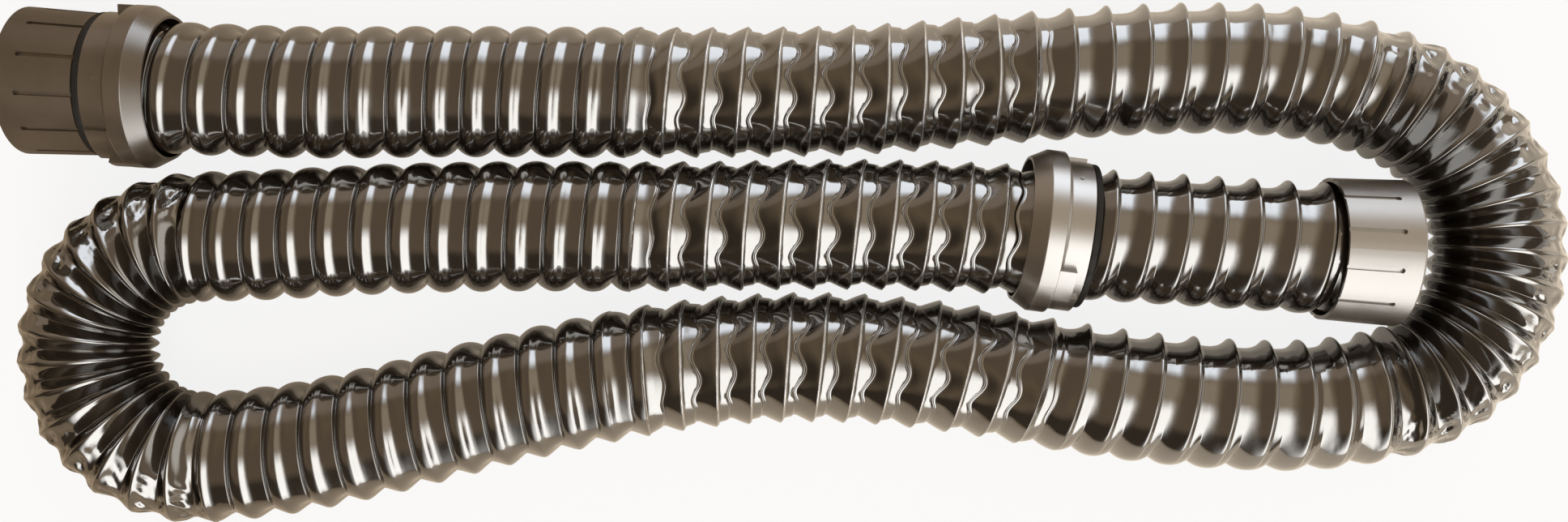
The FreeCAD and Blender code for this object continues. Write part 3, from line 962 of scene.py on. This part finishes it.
def floor_of(settings):
    """A plain pale floor. The camera sees it near white, with a light shadow. Reflections and bounced
    light see it with painted shade and light: warm, and darker towards the left, where the light falls
    off, as the photograph's gloss shows."""
    corners = FLOOR_REACH * np.array([(-1, -1, 0), (1, -1, 0), (1, 1, 0), (-1, 1, 0)])
    floor = mesh_object("floor", corners, np.array([(0, 1, 2), (0, 2, 3)]), smooth=False)
    material, tree, shader = new_material("floor_pale")
    shader.inputs["Roughness"].default_value = 0.9
    shader.inputs["Specular IOR Level"].default_value = 0.1
    path = tree.nodes.new("ShaderNodeLightPath")
    camera_ray = path.outputs["Is Camera Ray"]
    where = tree.nodes.new("ShaderNodeTexCoord")
    split = tree.nodes.new("ShaderNodeSeparateXYZ")
    tree.links.new(where.outputs["Object"], split.inputs["Vector"])
    # Painted shade: reflections and bounced light see the floor warm, dark on the left and bright on
    # the right.
    fade = scaled(tree, split.outputs["X"], FLOOR_SHADE_FADE, (0.0, 1.0))
    painted_floor_shade = mixed(tree, fade, FLOOR_SHADE_LEFT, FLOOR_LIGHT_RIGHT)
    base = mixed(tree, camera_ray, painted_floor_shade, tuple(settings.floor_colour))
    tone = mixed(tree, camera_ray, painted_floor_shade, (1.0, 1.0, 1.0))
    glow = tree.nodes.new("ShaderNodeEmission")
    tree.links.new(base, shader.inputs["Base Color"])
    tree.links.new(tone, glow.inputs["Color"])
    seen = camera_ray
    for kind in ("Is Glossy Ray", "Is Transmission Ray"):
        seen = worked(tree, "MAXIMUM", seen, path.outputs[kind])
    share = worked(tree, "MULTIPLY", seen, scaled(tree, camera_ray, (0.0, 1.0), FLOOR_GLOW))
    both = tree.nodes.new("ShaderNodeMixShader")
    tree.links.new(share, both.inputs["Fac"])
    tree.links.new(shader.outputs["BSDF"], both.inputs[1])
    tree.links.new(glow.outputs["Emission"], both.inputs[2])
    tree.links.new(both.outputs["Shader"], tree.nodes["Material Output"].inputs["Surface"])
    give_material(floor, material)


def light_of(settings):
    """Soft studio light all round: a warm dim room with a large bright window, a cooler one facing
    it, a beige ceiling between them and a wall with a window of its own on the right. A direction's
    angle sideways is the arc sine of its x, and its angle forwards is the arc tangent of y / z."""
    world = bpy.data.worlds.new("studio_light")
    bpy.context.scene.world = world
    world.use_nodes = True
    tree = world.node_tree
    background = tree.nodes["Background"]
    place = tree.nodes.new("ShaderNodeTexCoord")
    split = tree.nodes.new("ShaderNodeSeparateXYZ")
    tree.links.new(place.outputs["Generated"], split.inputs["Vector"])
    sideways = worked(tree, "ARCSINE", split.outputs["X"])
    forwards = worked(tree, "ARCTAN2", split.outputs["Y"], split.outputs["Z"])

    def both(first, second):
        """1 where both are 1."""
        return worked(tree, "MULTIPLY", first, second)

    def beyond(value, start, end):
        """0 below the first angle in degrees and 1 above the second."""
        source = (math.radians(start), math.radians(end))
        return scaled(tree, value, source, (0.0, 1.0), "SMOOTHSTEP")

    def before(value, start, end):
        """1 below the first angle in degrees and 0 above the second."""
        source = (math.radians(start), math.radians(end))
        return scaled(tree, value, source, (1.0, 0.0), "SMOOTHSTEP")

    def band(value, low, high, edge):
        """1 between two angles in degrees and 0 beyond them, with soft edges."""
        return both(beyond(value, low - edge, low + edge), before(value, high - edge, high + edge))

    strength = settings.window_strength
    window, cool_window = (
        tuple(strength * channel for channel in LIGHT[name]) for name in ("window", "cool window"))
    not_left = beyond(sideways, *SIDEWAYS["dark ends"])
    not_near = beyond(forwards, *FORWARDS["dark ends"])
    soft_start = worked(tree, "POWER", beyond(sideways, *SIDEWAYS["windows start"]), 2.0)
    open_side = both(soft_start, before(sideways, *SIDEWAYS["windows end"]))
    cool_side = both(open_side, beyond(sideways, *SIDEWAYS["cool window starts"]))
    light = LIGHT["dark"]
    for zone, colour in (
        (both(not_left, not_near), LIGHT["room"]),
        (both(band(sideways, *SIDEWAYS["pillar"]), not_near), LIGHT["pillar"]),
        (both(not_left, beyond(forwards, *FORWARDS["far wall"])), LIGHT["far wall"]),
        (beyond(sideways, *SIDEWAYS["right wall"]), LIGHT["right wall"]),
        (beyond(sideways, *SIDEWAYS["right window"]), LIGHT["right window"]),
        (both(open_side, band(forwards, *FORWARDS["ceiling"])), LIGHT["ceiling"]),
        (both(open_side, band(forwards, *FORWARDS["window"])), window),
        (both(cool_side, band(forwards, *FORWARDS["cool window"])), cool_window),
    ):
        light = mixed(tree, zone, light, colour)
    path = tree.nodes.new("ShaderNodeLightPath")
    light = mixed(tree, path.outputs["Is Camera Ray"], light, LIGHT["backdrop"])
    tree.links.new(light, background.inputs["Color"])
    background.inputs["Strength"].default_value = 1.0


def camera_of(settings):
    """A camera that looks straight down at the middle of the photograph."""
    camera = bpy.data.objects.new("camera", bpy.data.cameras.new("camera"))
    bpy.context.scene.collection.objects.link(camera)
    camera.location = (*CAMERA_OVER, settings.camera_height)
    camera.rotation_euler = (0.0, 0.0, 0.0)
    camera.data.lens = settings.focal_length
    camera.data.sensor_width = SENSOR_WIDTH
    camera.data.clip_start = 0.01
    bpy.context.scene.camera = camera


# ---------------------------------------------------------------------------------------------
# Panel and registration
# ---------------------------------------------------------------------------------------------


class VIEW3D_PT_vacuum_hose(Panel):
    """Lists the hose's pieces and the stage"""

    bl_idname = "VIEW3D_PT_vacuum_hose"
    bl_label = "Vacuum hose"
    bl_space_type = "VIEW_3D"
    bl_region_type = "UI"
    bl_category = "Vacuum hose"

    def draw(self, context):
        for operator in OPERATORS:
            self.layout.operator(operator.bl_idname)


SETTINGS = (HoseSettings, FittingSettings, StageSettings)
OPERATORS = (
    OBJECT_OT_vacuum_hose_film,
    OBJECT_OT_vacuum_hose_wire,
    OBJECT_OT_vacuum_hose_cuffs,
    OBJECT_OT_vacuum_hose_lock_rings,
    OBJECT_OT_vacuum_hose_seals,
    OBJECT_OT_vacuum_hose_stage,
)


def register():
    for item in SETTINGS + OPERATORS + (VIEW3D_PT_vacuum_hose,):
        bpy.utils.register_class(item)
    bpy.types.Scene.vacuum_hose = PointerProperty(type=HoseSettings)
    bpy.types.Scene.vacuum_fittings = PointerProperty(type=FittingSettings)
    bpy.types.Scene.vacuum_stage = PointerProperty(type=StageSettings)


def unregister():
    del bpy.types.Scene.vacuum_stage
    del bpy.types.Scene.vacuum_fittings
    del bpy.types.Scene.vacuum_hose
    for item in reversed(SETTINGS + OPERATORS + (VIEW3D_PT_vacuum_hose,)):
        bpy.utils.unregister_class(item)


def main():
    register()
    bpy.ops.object.vacuum_hose_film()
    bpy.ops.object.vacuum_hose_wire()
    bpy.ops.object.vacuum_hose_cuffs()
    bpy.ops.object.vacuum_hose_lock_rings()
    bpy.ops.object.vacuum_hose_seals()
    bpy.ops.object.vacuum_hose_stage()


if __name__ == "__main__":
    main()
